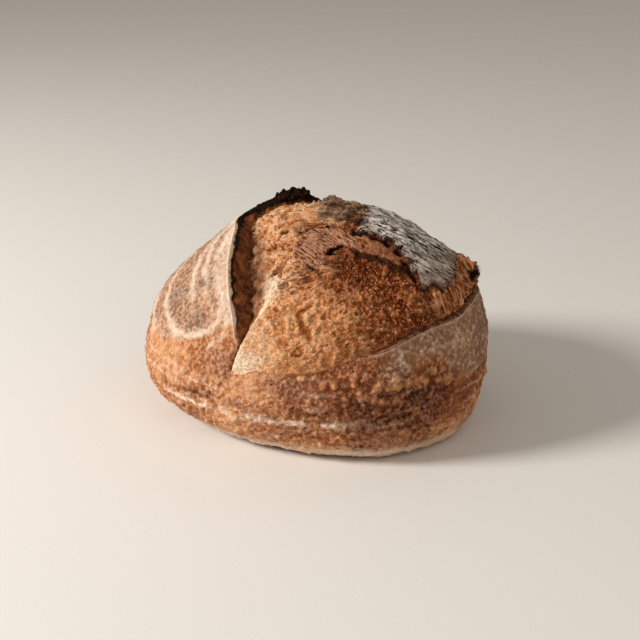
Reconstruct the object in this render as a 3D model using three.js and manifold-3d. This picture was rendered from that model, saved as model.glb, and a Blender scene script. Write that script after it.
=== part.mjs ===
import * as THREE from "three";
import { mergeVertices } from "three/addons/utils/BufferGeometryUtils.js";
import Module from "manifold-3d";

// A round sourdough loaf on its flat base, torn open along one long score that left a raised ear.
// Millimetres and degrees, +Z up, origin in the middle of the base, azimuths anticlockwise from +X.
// Every place on the skin has a point on a flat map: the map's middle is the top of the dome,
// radius 1 the widest ring, radius 2 the rim of the base and radius 3 the middle of the base.

// The dome
const WIDE_RADIUS = 102;
const OVAL = 8;
const OVAL_AZIMUTH = -30;
const CORNERS = 1.7;
const CORNERS_AZIMUTH = 68;
const WIDE_HEIGHT = 39;
const WIDE_TILT = 6.6;
const WIDE_TILT_AZIMUTH = -36;
const TOP_HEIGHT = 123.7;
const TOP_SHIFT = [9.7, 3.4];
const RISE_CURVE = 2.18;
const RISE_SWING = -0.19;
const ROOF_CURVE = 1.88;
const ROOF_SWING = 0.17;
const UNDERCUT = 31.8;
const UNDERCUT_SWING = 9.9;
const UNDERCUT_AZIMUTH = 143;
const UNDERSIDE_CURVE = 2.2;

// The torn opening: rows of bearing from its middle, reach on the map, lift of the crust's edge in mm.
const SPLIT_MIDDLE = [0.15, -0.38];
const SPLIT = [
  [6, 0.463, 1.5],
  [18, 0.54, 2],
  [27, 0.635, 3],
  [44, 0.72, 3],
  [61, 0.775, 3],
  [83, 0.82, 4],
  [102, 0.7, 9],
  [114, 0.625, 13],
  [124, 0.68, 11],
  [136, 0.715, 6],
  [146, 0.65, 3],
  [160, 0.604, 2.5],
  [180, 0.59, 2.5],
  [198, 0.615, 2],
  [205, 0.647, 1.5],
  [208.5, 0.67, 1],
  [211.5, 0.77, 0],
  [224, 0.67, 0],
  [235, 0.614, 0.3],
  [253, 0.526, 0.8],
  [270, 0.436, 1],
  [286, 0.405, 1],
  [308, 0.36, 1.2],
  [327, 0.36, 1.5],
  [350, 0.416, 1.5],
];
const EDGE_THICKNESS = 0.028;
const EDGE_FLARE = 0.12;
const WALL_DEPTH = 10;
const WALL_ROOT_DEPTH = 24;
const WALL_ROOT_REACH = 0.1;
const CRUST_HEART_DEPTH = 60;

// The furrow between the crust's edge and the bloom: rows of bearing, depth in mm, width on the map.
const FURROW = [
  [18, 5, 0.05],
  [90, 4, 0.05],
  [120, 9, 0.075],
  [150, 13, 0.1],
  [190, 12, 0.09],
  [205, 9, 0.07],
  [216, 2, 0.04],
  [235, 1, 0.03],
  [270, 2.5, 0.03],
  [310, 5, 0.035],
  [350, 5, 0.04],
];

// The bloom: its swell over the dome, its uneven lumps and the torn peak on the right.
const BLOOM_SWELL = 2;
const BLOOM_LUMP = 1.1;
const BLOOM_ROOT_DEPTH = 34;
const BLOOM_HEART_DEPTH = 80;
const PEAK_PLACE = [0.6, -0.13];
const PEAK_HEIGHT = 8;
const PEAK_WIDTH = 0.06;

// The charred cap on the bloom: rows of bearing from its middle, reach on the map.
const CAP_MIDDLE = [0.36, -0.02];
const CAP_THICKNESS = 2.4;
const CAP_SUNK = 5;
const CAP = [
  [16, 0.25],
  [62, 0.3],
  [98, 0.38],
  [122, 0.36],
  [147, 0.24],
  [198, 0.25],
  [216, 0.325],
  [229, 0.28],
  [244, 0.283],
  [257, 0.33],
  [270, 0.405],
  [281, 0.4],
  [290, 0.32],
  [300, 0.268],
  [332, 0.205],
];

const cosine = (degrees) => Math.cos(THREE.MathUtils.degToRad(degrees));
const sine = (degrees) => Math.sin(THREE.MathUtils.degToRad(degrees));
const bell = (x) => Math.exp(-x * x);

// The value in one column of a table of bearings, on a smooth closed curve through its rows.
function alongTable(table, bearing, column) {
  const count = table.length;
  const row = (i) => {
    const turns = Math.floor(i / count);
    const entry = table[i - turns * count];
    return [entry[0] + 360 * turns, entry[column]];
  };
  const slope = (i) => {
    const [before, after] = [row(i - 1), row(i + 1)];
    return (after[1] - before[1]) / (after[0] - before[0]);
  };
  let next = 0;
  while (row(next)[0] <= bearing) next += 1;
  const [x0, y0] = row(next - 1);
  const [x1, y1] = row(next);
  const span = x1 - x0;
  const t = (bearing - x0) / span;
  const ends = y0 * (1 + 2 * t) * (1 - t) ** 2 + y1 * t * t * (3 - 2 * t);
  const pull = slope(next - 1) * t * (1 - t) ** 2 - slope(next) * t * t * (1 - t);
  return ends + span * pull;
}

// A map point on the bare dome, base included.
function onDome(x, y) {
  const out = Math.hypot(x, y);
  const azimuth = THREE.MathUtils.radToDeg(Math.atan2(y, x));
  const wide =
    WIDE_RADIUS +
    OVAL * cosine(2 * (azimuth - OVAL_AZIMUTH)) +
    CORNERS * cosine(3 * (azimuth - CORNERS_AZIMUTH));
  const wideHeight = WIDE_HEIGHT + WIDE_TILT * cosine(azimuth - WIDE_TILT_AZIMUTH);
  let radius = wide;
  let height = wideHeight;
  let rise = 0;
  if (out < 1) {
    const climb = 90 * (1 - out);
    rise = sine(climb) ** (2 / (RISE_CURVE + RISE_SWING * cosine(azimuth)));
    radius = wide * cosine(climb) ** (2 / (ROOF_CURVE + ROOF_SWING * cosine(azimuth)));
    height = wideHeight + (TOP_HEIGHT - wideHeight) * rise;
  } else {
    const under = Math.min(out - 1, 1);
    const undercut = UNDERCUT + UNDERCUT_SWING * cosine(azimuth - UNDERCUT_AZIMUTH);
    const tuck = 1 - (1 - under ** UNDERSIDE_CURVE) ** (1 / UNDERSIDE_CURVE);
    radius = (wide - undercut * tuck) * Math.min(3 - out, 1);
    height = wideHeight * (1 - under);
  }
  return new THREE.Vector3(
    TOP_SHIFT[0] * rise + radius * cosine(azimuth),
    TOP_SHIFT[1] * rise + radius * sine(azimuth),
    height,
  );
}

// A map point raised off the dome along the dome's normal.
function raised(x, y, lift) {
  const point = onDome(x, y);
  if (lift === 0) return point;
  const step = 0.02;
  const across = onDome(x + step, y).sub(onDome(x - step, y));
  const along = onDome(x, y + step).sub(onDome(x, y - step));
  return point.addScaledVector(across.cross(along).normalize(), lift);
}

// The reach from a map point, along a bearing, to the circle of this radius round the map's middle.
function reachToRing([x, y], bearing, radius) {
  const ahead = x * cosine(bearing) + y * sine(bearing);
  return Math.sqrt(ahead * ahead - x * x - y * y + radius * radius) - ahead;
}

// A closed skin: stations are [reach, lift] from its upper pole to its lower one, for each bearing.
function skin([x, y], columns, stationsAt) {
  const rows = stationsAt(0).length - 1;
  const geometry = new THREE.SphereGeometry(1, columns, rows);
  const position = geometry.getAttribute("position");
  for (let column = 0; column <= columns; column += 1) {
    const bearing = (360 * (column % columns)) / columns;
    stationsAt(bearing).forEach(([reach, lift], row) => {
      const place = raised(x + reach * cosine(bearing), y + reach * sine(bearing), lift);
      position.setXYZ(row * (columns + 1) + column, place.x, place.y, place.z);
    });
  }
  geometry.deleteAttribute("uv");
  geometry.deleteAttribute("normal");
  return mergeVertices(geometry, 1e-3);
}

// The crust: from deep under the bloom, up the torn wall, over the lifted edge, down to the base.
function crustStations(bearing) {
  const edge = alongTable(SPLIT, bearing, 1);
  const lift = alongTable(SPLIT, bearing, 2);
  const widest = reachToRing(SPLIT_MIDDLE, bearing, 1);
  const rim = reachToRing(SPLIT_MIDDLE, bearing, 2);
  const middle = reachToRing(SPLIT_MIDDLE, bearing, 3);
  const stations = [
    [0, -CRUST_HEART_DEPTH],
    [edge - WALL_ROOT_REACH, -WALL_ROOT_DEPTH],
    [edge - 1.4 * EDGE_THICKNESS, lift - WALL_DEPTH],
    [edge - EDGE_THICKNESS, lift - 1.5],
    [edge - EDGE_THICKNESS / 2, lift],
  ];
  const upperRows = 13;
  for (let row = 0; row < upperRows; row += 1) {
    const beyond = (widest - edge) * (row / upperRows) ** 1.2;
    stations.push([edge + beyond, lift * bell(beyond / EDGE_FLARE)]);
  }
  const lowerRows = 9;
  for (let row = 0; row < lowerRows; row += 1) {
    stations.push([widest + ((rim - widest) * row) / lowerRows, 0]);
  }
  stations.push([rim, 0], [(rim + middle) / 2, 0], [middle, 0]);
  return stations;
}

// The bloom's height over the dome at a map point, this far inside the crust's edge.
function bloomLift(x, y, bearing, inside) {
  const depth = alongTable(FURROW, bearing, 1);
  const width = alongTable(FURROW, bearing, 2);
  const lumps = Math.sin(17 * x + 9 * y) + Math.sin(11 * x - 19 * y + 1) + Math.sin(27 * y - 5 * x);
  const peak = PEAK_HEIGHT * bell(Math.hypot(x - PEAK_PLACE[0], y - PEAK_PLACE[1]) / PEAK_WIDTH);
  return BLOOM_SWELL + (BLOOM_LUMP * lumps) / 2 + peak - (BLOOM_SWELL + depth) * bell(inside / width);
}

function bloomStations(bearing) {
  const edge = alongTable(SPLIT, bearing, 1);
  const rows = 15;
  const stations = [];
  for (let row = 0; row <= rows; row += 1) {
    const reach = edge * (1 - (1 - row / rows) ** 1.3);
    const x = SPLIT_MIDDLE[0] + reach * cosine(bearing);
    const y = SPLIT_MIDDLE[1] + reach * sine(bearing);
    stations.push([reach, bloomLift(x, y, bearing, edge - reach)]);
  }
  stations.push([edge - WALL_ROOT_REACH / 2, -BLOOM_ROOT_DEPTH], [0, -BLOOM_HEART_DEPTH]);
  return stations;
}

// The cap: a thin charred plate that follows the bloom.
function capStations(bearing) {
  const edge = alongTable(CAP, bearing, 1);
  const over = BLOOM_SWELL + CAP_THICKNESS;
  const shares = [0, 0.3, 0.6, 0.85, 1];
  const upper = shares.map((share) => [share * edge, over + 0.4 * Math.sin(9 * share * edge * 4)]);
  return [...upper, [0.97 * edge, -CAP_SUNK], [0, -CAP_SUNK]];
}

const wasm = await Module();
wasm.setup();

function solidFrom(geometry) {
  return new wasm.Manifold(
    new wasm.Mesh({
      numProp: 3,
      vertProperties: geometry.getAttribute("position").array,
      triVerts: new Uint32Array(geometry.index.array),
    }),
  );
}

function geometryFrom(solid) {
  const mesh = solid.getMesh();
  const geometry = new THREE.BufferGeometry();
  geometry.setAttribute("position", new THREE.BufferAttribute(mesh.vertProperties, 3));
  geometry.setIndex(new THREE.BufferAttribute(mesh.triVerts, 1));
  geometry.computeVertexNormals();
  return geometry;
}

const CRUST_COLUMNS = 96;
const BLOOM_COLUMNS = 72;
const CAP_COLUMNS = 40;
const crust = solidFrom(skin(SPLIT_MIDDLE, CRUST_COLUMNS, crustStations));
const bloom = solidFrom(skin(SPLIT_MIDDLE, BLOOM_COLUMNS, bloomStations));
const cap = solidFrom(skin(CAP_MIDDLE, CAP_COLUMNS, capStations));

const bakedCrust = new THREE.MeshStandardMaterial({ color: 0xb27a4c, roughness: 0.8, metalness: 0 });
const loaf = new THREE.Mesh(geometryFrom(crust.add(bloom).add(cap)), bakedCrust);
loaf.name = "loaf";

const sourdough = new THREE.Group();
sourdough.add(loaf);

export default sourdough;
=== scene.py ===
import math

import bpy
import numpy as np
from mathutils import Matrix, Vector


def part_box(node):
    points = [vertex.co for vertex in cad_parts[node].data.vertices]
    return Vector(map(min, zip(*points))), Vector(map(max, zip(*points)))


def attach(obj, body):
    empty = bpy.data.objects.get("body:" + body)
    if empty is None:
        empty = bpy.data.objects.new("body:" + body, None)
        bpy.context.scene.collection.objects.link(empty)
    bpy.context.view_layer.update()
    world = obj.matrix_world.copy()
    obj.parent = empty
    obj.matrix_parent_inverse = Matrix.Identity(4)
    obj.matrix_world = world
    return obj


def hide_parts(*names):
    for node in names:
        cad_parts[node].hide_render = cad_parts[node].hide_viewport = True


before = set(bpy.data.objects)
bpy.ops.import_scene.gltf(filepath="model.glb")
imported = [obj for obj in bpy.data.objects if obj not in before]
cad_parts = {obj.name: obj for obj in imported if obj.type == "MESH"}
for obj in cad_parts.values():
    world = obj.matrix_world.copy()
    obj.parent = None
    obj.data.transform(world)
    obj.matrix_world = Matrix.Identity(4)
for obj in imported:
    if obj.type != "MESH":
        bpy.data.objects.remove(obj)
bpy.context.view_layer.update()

# A round sourdough loaf, torn open along one long score that left a raised, charred ear.
# Sizes are millimetres on the loaf and angles degrees; MM turns them into metres by the frame's width.
# Every place on the skin has a point on a flat map: the map's middle is the top of the dome,
# radius 1 the widest ring, radius 2 the rim of the base and radius 3 the middle of the base.

LOAF_LOW, LOAF_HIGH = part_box("loaf")
LOAF_WIDTH = 214.05
MM = (LOAF_HIGH.x - LOAF_LOW.x) / LOAF_WIDTH

# The dome
WIDE_RADIUS = 102
OVAL = 8
OVAL_AZIMUTH = -30
CORNERS = 1.7
CORNERS_AZIMUTH = 68
WIDE_HEIGHT = 39
WIDE_TILT = 6.6
WIDE_TILT_AZIMUTH = -36
TOP_HEIGHT = 123.7
TOP_SHIFT = (9.7, 3.4)
RISE_CURVE = 2.18
RISE_SWING = -0.19
ROOF_CURVE = 1.88
ROOF_SWING = 0.17
UNDERCUT = 31.8
UNDERCUT_SWING = 9.9
UNDERCUT_AZIMUTH = 143
UNDERSIDE_CURVE = 2.2

# The torn opening: bearing from its middle, reach on the map, lift of the crust's edge,
# thickness of the edge and depth of the torn wall under it.
SPLIT_MIDDLE = (0.15, -0.38)
SPLIT = (
    (6, 0.463, 1.5, 2.4, 9),
    (18, 0.54, 1, 2.6, 9),
    (27, 0.635, 0.5, 2.6, 9),
    (44, 0.72, 0, 2.6, 9),
    (61, 0.775, 1, 2.6, 9),
    (83, 0.82, 1.5, 2.8, 9),
    (102, 0.7, -1, 3.2, 9),
    (114, 0.625, 7, 3.4, 9),
    (124, 0.68, 7.5, 3.4, 10),
    (136, 0.715, 5, 3.4, 10),
    (146, 0.65, 3, 3.6, 12),
    (160, 0.604, 2.5, 3.6, 12),
    (180, 0.59, 2.5, 3.4, 12),
    (198, 0.615, 2, 3.2, 11),
    (205, 0.647, 1.5, 2.6, 8),
    (208.5, 0.67, 0.2, 1.8, 5),
    (211.5, 0.77, -1, 0.8, 3),
    (224, 0.67, -1.2, 0.7, 3),
    (235, 0.614, -1.2, 0.7, 3),
    (253, 0.526, -1, 0.9, 4),
    (270, 0.436, -0.3, 1.2, 5),
    (286, 0.405, 0.6, 1.5, 6),
    (308, 0.36, 1.2, 1.8, 8),
    (327, 0.36, 1.5, 2.2, 9),
    (350, 0.416, 1.5, 2.4, 9),
)
EDGE_FLARE = 0.12
# Beside the opening, one unit of the map's reach is this many mm of skin.
SKIN_PER_REACH = 120
CRUST_HEART_DEPTH = 60

# The furrow between the crust's edge and the bloom: bearing, depth, width on the map.
FURROW = (
    (12, 4.5, 0.045),
    (26, 4, 0.045),
    (45, 2, 0.04),
    (90, 2, 0.04),
    (112, 3, 0.06),
    (128, 5, 0.085),
    (150, 11, 0.14),
    (178, 13, 0.185),
    (195, 13, 0.18),
    (204, 9, 0.155),
    (209, 4.5, 0.105),
    (212, 1, 0.07),
    (215, 0.1, 0.05),
    (219, -0.3, 0.04),
    (250, -0.4, 0.03),
    (275, 0.5, 0.03),
    (315, 1.5, 0.025),
    (335, 2.4, 0.03),
    (352, 3.4, 0.035),
)

# The bloom: its swell over the dome, its uneven lumps and the torn peak on the right.
BLOOM_SWELL = 2
BLOOM_LUMP = 1.1
BLOOM_ROOT_DEPTH = 34
BLOOM_HEART_DEPTH = 80
PEAK_PLACE = (0.6, -0.12)
PEAK_HEIGHT = 6.5
PEAK_WIDTH = 0.06
# Where the bloom's right shoulder sinks: its middle, its drop in mm and its width on the map.
SHOULDER_PLACE = (0.46, 0.14)
SHOULDER_DROP = 4.6
SHOULDER_WIDTH = 0.34

# The charred cap on the bloom: bearing from its middle, reach on the map.
CAP_MIDDLE = (0.36, -0.02)
CAP_THICKNESS = 2.0
CAP_SUNK = 5
CAP = (
    (16, 0.205),
    (62, 0.29),
    (98, 0.38),
    (122, 0.36),
    (147, 0.24),
    (198, 0.25),
    (216, 0.325),
    (229, 0.28),
    (244, 0.283),
    (257, 0.33),
    (270, 0.405),
    (281, 0.4),
    (290, 0.32),
    (300, 0.268),
    (332, 0.18),
)


# ---- Numbers ----


def cosine(degrees):
    return np.cos(np.radians(degrees))


def sine(degrees):
    return np.sin(np.radians(degrees))


def bell(x):
    return np.exp(-np.square(x))


def ramp(value, low, high):
    """0 at low, 1 at high and smooth between; low may be the larger."""
    t = np.clip((value - low) / (high - low), 0, 1)
    return t * t * (3 - 2 * t)


def between(value, outer, inner, far_outer, far_inner):
    """1 between the two inner values, and smoothly down to 0 at the outer one on each side."""
    return ramp(value, outer, inner) * ramp(value, far_outer, far_inner)


def mixed(a, b, share):
    return a + (b - a) * share


def dome_bump(distance, width):
    """A round bump, 1 high in its middle and this wide to its rim."""
    return np.sqrt(np.clip(1 - np.square(distance / width), 0, 1))


CELL_STEPS = np.array([374761393, 668265263, 2246822519], np.uint32)


def even(numbers):
    """Whole numbers scrambled into even random ones, 0 to 1."""
    n = (numbers ^ (numbers >> 15)) * np.uint32(2246822507)
    n = (n ^ (n >> 13)) * np.uint32(3266489909)
    return (n ^ (n >> 16)).astype(np.float32) / np.float32(4294967295)


def cell_number(cells, seed):
    steps = cells.astype(np.int64).astype(np.uint32) * CELL_STEPS
    return steps[..., 0] + steps[..., 1] + steps[..., 2] + np.uint32(seed * 7919)


def noise(points, size, seed):
    """Smooth random waves of about this size over points in mm, -1 to 1."""
    place = points / size
    cell = np.floor(place)
    part = place - cell
    part = part**3 * (part * (part * 6 - 15) + 10)
    first = cell_number(cell, seed)
    edges = []
    for up in (0, 1):
        for along in (0, 1):
            number = first + np.uint32(up) * CELL_STEPS[2] + np.uint32(along) * CELL_STEPS[1]
            edges.append(mixed(even(number), even(number + CELL_STEPS[0]), part[..., 0]))
    low = mixed(edges[0], edges[1], part[..., 1])
    high = mixed(edges[2], edges[3], part[..., 1])
    return mixed(low, high, part[..., 2]) * 2 - 1


def layered(points, size, seed, layers=3, gain=0.5):
    total = sum(gain**i * noise(points, size / 2**i, seed + 17 * i) for i in range(layers))
    return total / sum(gain**i for i in range(layers))


def warped(points, size, reach, seed):
    """Points pushed about at random by up to this reach, which bends the patterns laid over them."""
    return points + reach * np.stack([noise(points, size, seed + k) for k in range(3)], -1)


def ridged(points, size, seed):
    """Narrow winding crests, 0 to 1, about this far apart."""
    return np.clip(1 - 2.8 * np.abs(noise(points, size, seed)), 0, 1)


def spots(points, size, seed):
    """Distance in mm to the nearest spot, one scattered in each cell, and that spot's own number."""
    first = np.floor(points / size - 0.5)
    nearest = np.full(points.shape[:-1], float(size))
    own_number = np.zeros(points.shape[:-1])
    for step in np.ndindex(2, 2, 2):
        cell = first + np.array(step)
        number = cell_number(cell, seed)
        jitter = np.stack([even(number + np.uint32(101 * k)) for k in (1, 2, 3)], -1)
        distance = np.linalg.norm((cell + jitter) * size - points, axis=-1)
        closer = distance < nearest
        nearest = np.where(closer, distance, nearest)
        own_number = np.where(closer, even(number), own_number)
    return nearest, own_number


def stretched(points, along, stretch):
    """Points squeezed along a direction, so that a pattern laid over them is drawn out along it."""
    along = np.array(along, float) / np.linalg.norm(along)
    reach = points @ along
    return points + (reach * (1 / stretch - 1))[..., None] * along


def near(points, place, width):
    """1 at a place in mm, fading away from it over this width."""
    return bell(np.linalg.norm(points - np.array(place, float), axis=-1) / width)


def along_table(table, bearing, column):
    """One column of a table of bearings, on a smooth closed curve through its rows."""
    rows = np.array(table, float)
    x = np.concatenate([rows[:, 0] + turn for turn in (-360, 0, 360)])
    y = np.tile(rows[:, column], 3)
    slope = np.zeros_like(x)
    slope[1:-1] = (y[2:] - y[:-2]) / (x[2:] - x[:-2])
    bearing = np.mod(bearing, 360)
    i = np.searchsorted(x, bearing, side="right") - 1
    span = x[i + 1] - x[i]
    t = (bearing - x[i]) / span
    ends = y[i] * (1 + 2 * t) * (1 - t) ** 2 + y[i + 1] * t * t * (3 - 2 * t)
    return ends + span * (slope[i] * t * (1 - t) ** 2 - slope[i + 1] * t * t * (1 - t))


def line_offset(points, line):
    """Distance from plan points to a bent line, their side of it (left is 1) and their share along it."""
    line = np.array(line, float)
    starts = line[:-1]
    steps = np.diff(line, axis=0)
    lengths = np.linalg.norm(steps, axis=1)
    done = np.concatenate([[0], np.cumsum(lengths)])
    best = np.full(points.shape[:-1], 1e9)
    side = np.zeros_like(best)
    share = np.zeros_like(best)
    for k in range(len(steps)):
        rel = points - starts[k]
        t = np.clip(rel @ steps[k] / lengths[k] ** 2, 0, 1)
        away = np.linalg.norm(rel - t[..., None] * steps[k], axis=-1)
        closer = away < best
        best = np.where(closer, away, best)
        side = np.where(closer, np.sign(steps[k][0] * rel[..., 1] - steps[k][1] * rel[..., 0]), side)
        share = np.where(closer, (done[k] + t * lengths[k]) / done[-1], share)
    return best, side, share


# ---- The dome ----


def on_dome(x, y):
    """A map point on the bare dome, base included, in mm."""
    out = np.hypot(x, y)
    azimuth = np.degrees(np.arctan2(y, x))
    wide = WIDE_RADIUS + OVAL * cosine(2 * (azimuth - OVAL_AZIMUTH))
    wide = wide + CORNERS * cosine(3 * (azimuth - CORNERS_AZIMUTH))
    wide_height = WIDE_HEIGHT + WIDE_TILT * cosine(azimuth - WIDE_TILT_AZIMUTH)
    climb = 90 * np.clip(1 - out, 0, 1)
    rise = sine(climb) ** (2 / (RISE_CURVE + RISE_SWING * cosine(azimuth)))
    roof = wide * np.abs(cosine(climb)) ** (2 / (ROOF_CURVE + ROOF_SWING * cosine(azimuth)))
    under = np.clip(out - 1, 0, 1)
    undercut = UNDERCUT + UNDERCUT_SWING * cosine(azimuth - UNDERCUT_AZIMUTH)
    tuck = 1 - (1 - under**UNDERSIDE_CURVE) ** (1 / UNDERSIDE_CURVE)
    side = (wide - undercut * tuck) * np.clip(3 - out, 0, 1)
    above = out < 1
    radius = np.where(above, roof, side)
    height = np.where(above, wide_height + (TOP_HEIGHT - wide_height) * rise, wide_height * (1 - under))
    east = TOP_SHIFT[0] * rise + radius * cosine(azimuth)
    north = TOP_SHIFT[1] * rise + radius * sine(azimuth)
    return np.stack([east, north, height], -1)


def azimuth_of(x, y):
    return np.mod(np.degrees(np.arctan2(y, x)), 360)


def unit(vectors):
    return vectors / np.maximum(np.linalg.norm(vectors, axis=-1, keepdims=True), 1e-9)


def dome_normal(x, y):
    step = 0.02
    across = on_dome(x + step, y) - on_dome(x - step, y)
    along = on_dome(x, y + step) - on_dome(x, y - step)
    return unit(np.cross(across, along))


def map_point(middle, bearing, reach):
    return middle[0] + reach * cosine(bearing), middle[1] + reach * sine(bearing)


def reach_to_ring(middle, bearing, radius):
    """The reach from a map point, along a bearing, to the circle of this radius round the map's middle."""
    ahead = middle[0] * cosine(bearing) + middle[1] * sine(bearing)
    return np.sqrt(ahead**2 - middle[0] ** 2 - middle[1] ** 2 + radius**2) - ahead


def even_bearings(count):
    """Bearings of a piece's columns, even along the opening's edge and the widest ring together."""
    fine = np.linspace(0, 360, 1441)
    length = 0
    for reach in (along_table(SPLIT, fine, 1), reach_to_ring(SPLIT_MIDDLE, fine, 1)):
        places = on_dome(*map_point(SPLIT_MIDDLE, fine, reach))
        length = length + np.linalg.norm(np.diff(places, axis=0), axis=1)
    done = np.concatenate([[0], np.cumsum(length)])
    return np.interp(np.arange(count) / count * done[-1], done, fine)


def even_rows(path, rows):
    """Shares along each column's path, of shape (fine, columns, 3), that space this many rows evenly."""
    steps = np.linalg.norm(np.diff(path, axis=0), axis=-1)
    done = np.concatenate([np.zeros((1, path.shape[1])), np.cumsum(steps, axis=0)])
    fine = np.linspace(0, 1, path.shape[0])
    targets = np.linspace(0, 1, rows)
    shares = [np.interp(targets * done[-1, k], done[:, k], fine) for k in range(path.shape[1])]
    return np.stack(shares, 1)


def wrapped_mean(values, reach):
    """A running mean round a closed ring of columns."""
    total = sum(np.roll(values, k, axis=0) for k in range(-reach, reach + 1))
    return total / (2 * reach + 1)


def skin(name, grid, marks):
    """A closed piece: a sheet of rows and columns laid over points in mm, its seam and poles merged."""
    rows, columns = grid.shape[0] - 1, grid.shape[1]
    bpy.ops.object.select_all(action="DESELECT")
    bpy.ops.mesh.primitive_grid_add(x_subdivisions=columns, y_subdivisions=rows, size=2, calc_uvs=False)
    piece = bpy.context.object
    piece.name = name
    mesh = piece.data
    mesh.name = name
    places = np.zeros(len(mesh.vertices) * 3)
    mesh.vertices.foreach_get("co", places)
    places = places.reshape(-1, 3)
    column = np.round((places[:, 0] + 1) / 2 * columns).astype(int) % columns
    row = rows - np.round((places[:, 1] + 1) / 2 * rows).astype(int)
    mesh.vertices.foreach_set("co", (grid[row, column] * MM).ravel())
    for mark, values in marks.items():
        layer = mesh.attributes.new(mark, "FLOAT", "POINT")
        layer.data.foreach_set("value", np.ascontiguousarray(values[row, column], np.float32))
    mesh.update()
    bpy.ops.object.mode_set(mode="EDIT")
    bpy.ops.mesh.select_all(action="SELECT")
    bpy.ops.mesh.remove_doubles(threshold=1e-6)
    bpy.ops.object.mode_set(mode="OBJECT")
    bpy.ops.object.shade_smooth()
    own(piece)
    return piece


def own(piece):
    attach(piece, "root")
    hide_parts("loaf")


# ---- The crust ----

CRUST_COLUMNS = 640
WALL_ROWS = 22
SIDE_ROWS = 126
BASE_ROWS = 6
# From the root of the torn wall to the edge: inward in thicknesses, height in wall depths.
WALL = (
    (4.6, -2.4),
    (2.4, -1.2),
    (1.6, -0.66),
    (1.25, -0.32),
    (1.05, -0.13),
    (0.8, -0.03),
    (0.4, 0.03),
    (0, 0),
)
# The floured flap's middle and reach on the map, and the lines of flour the proving basket left there.
FLAP_MIDDLE = (-0.38, -0.12)
FLAP_REACH = 0.495
FLOUR_LINES = (
    ((-0.14, 0.3), (-0.3, 0.12), (-0.41, -0.07), (-0.46, -0.16), (-0.48, -0.25), (-0.48, -0.36))
    + ((-0.47, -0.46), (-0.5, -0.53), (-0.55, -0.55), (-0.61, -0.53), (-0.68, -0.48), (-0.74, -0.41))
    + ((-0.76, -0.31), (-0.75, -0.18), (-0.7, -0.07), (-0.63, 0), (-0.53, 0.13), (-0.38, 0.26)),
    ((-0.23, 0.27), (-0.36, 0.13), (-0.48, -0.03), (-0.51, -0.15), (-0.53, -0.23), (-0.53, -0.31))
    + ((-0.54, -0.38),),
    ((-0.3, 0.26), (-0.43, 0.11), (-0.53, -0.05), (-0.58, -0.16), (-0.6, -0.24), (-0.61, -0.33)),
    ((-0.47, 0.35), (-0.64, 0.18), (-0.77, 0.04), (-0.84, -0.08), (-0.86, -0.21)),
    ((-0.45, -0.57), (-0.5, -0.62), (-0.59, -0.62)),
)
# The basket's level lines of flour round the sides: the lowest and the spacing, in mm of height.
BAND_FIRST = 7.5
BAND_PITCH = 9.6
# Grey, ashy patches on the floured flap: place and width.
ASH_PATCHES = (((-79, -29, 79), 13), ((-69, -51, 72), 9), ((-61, -37, 89), 8), ((-84, 14, 76), 12))
# The largest blisters: place and width.
BLISTERS = (
    ((45, -95, 56), 3.0),
    ((41, -96, 51), 2.4),
    ((46, -95, 51), 2.9),
    ((52, -93, 52), 2.8),
    ((34, -97, 50), 2.3),
    ((59, -90, 53), 2.0),
    ((70, -85, 51), 2.4),
    ((76, -80, 49), 3.4),
    ((37, -97, 43), 2.6),
    ((33, -98, 44), 2.0),
    ((29, -98, 46), 2.4),
    ((25, -98, 48), 1.9),
    ((22, -97, 57), 2.6),
    ((22, -97, 53), 2.0),
    ((67, -85, 56), 2.0),
    ((72, -82, 56), 2.2),
    ((-7, -93, 55), 2.6),
    ((5, -96, 52), 2.3),
    ((11, -98, 52), 1.7),
    ((17, -99, 45), 1.8),
    ((-72, -58, 52), 3.0),
    ((-80, -47, 59), 3.2),
    ((-69, -63, 44), 2.6),
    ((-45, -78, 25), 3.6),
)
# Open pores, painted black as the shade in their holes: place and width.
PORES = (((-12, -94, 37), 1.0), ((-24, -89, 49), 0.8), ((-20, -91, 48), 0.8))


def crust_wall(bearing):
    """Rows from the crust's hidden heart up the torn wall to its edge, and the way inward from there."""
    edge, lift, thickness, depth = (along_table(SPLIT, bearing, k) for k in (1, 2, 3, 4))
    x, y = map_point(SPLIT_MIDDLE, bearing, edge)
    place = on_dome(x, y)
    normal = dome_normal(x, y)
    ahead = np.roll(place, -2, axis=0) - np.roll(place, 2, axis=0)
    inward = unit(wrapped_mean(unit(np.cross(normal, ahead)), 6))
    profile = np.array(WALL)
    share = np.linspace(0, 1, WALL_ROWS) ** 0.8 * (len(WALL) - 1)
    steps = np.arange(len(WALL))
    inside = np.interp(share, steps, profile[:, 0])[:, None] * thickness
    height = lift + np.interp(share, steps, profile[:, 1])[:, None] * depth
    rows = place + inside[..., None] * inward + height[..., None] * normal
    heart = on_dome(*SPLIT_MIDDLE) - CRUST_HEART_DEPTH * dome_normal(*SPLIT_MIDDLE)
    heart_row = np.broadcast_to(heart, (1, *place.shape))
    return np.concatenate([heart_row, rows[:-1]]), inward


def crust_side(bearing):
    """Map points of the rows from the edge, down the outside to the rim of the base and across it."""
    edge = along_table(SPLIT, bearing, 1)
    ends = [reach_to_ring(SPLIT_MIDDLE, bearing, ring) for ring in (1, 2, 3)]
    fine = np.linspace(0, 2, 321)[:, None]
    path = np.where(fine < 1, mixed(edge, ends[0], fine), mixed(ends[0], ends[1], fine - 1))
    share = even_rows(on_dome(*map_point(SPLIT_MIDDLE, bearing, path)), SIDE_ROWS) * 2
    reach = np.where(share < 1, mixed(edge, ends[0], share), mixed(ends[0], ends[1], share - 1))
    base = mixed(ends[1], ends[2], np.linspace(0, 1, BASE_ROWS + 1)[1:, None])
    reach = np.concatenate([reach, base])
    x, y = map_point(SPLIT_MIDDLE, bearing, reach)
    return x, y, reach - edge


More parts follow.
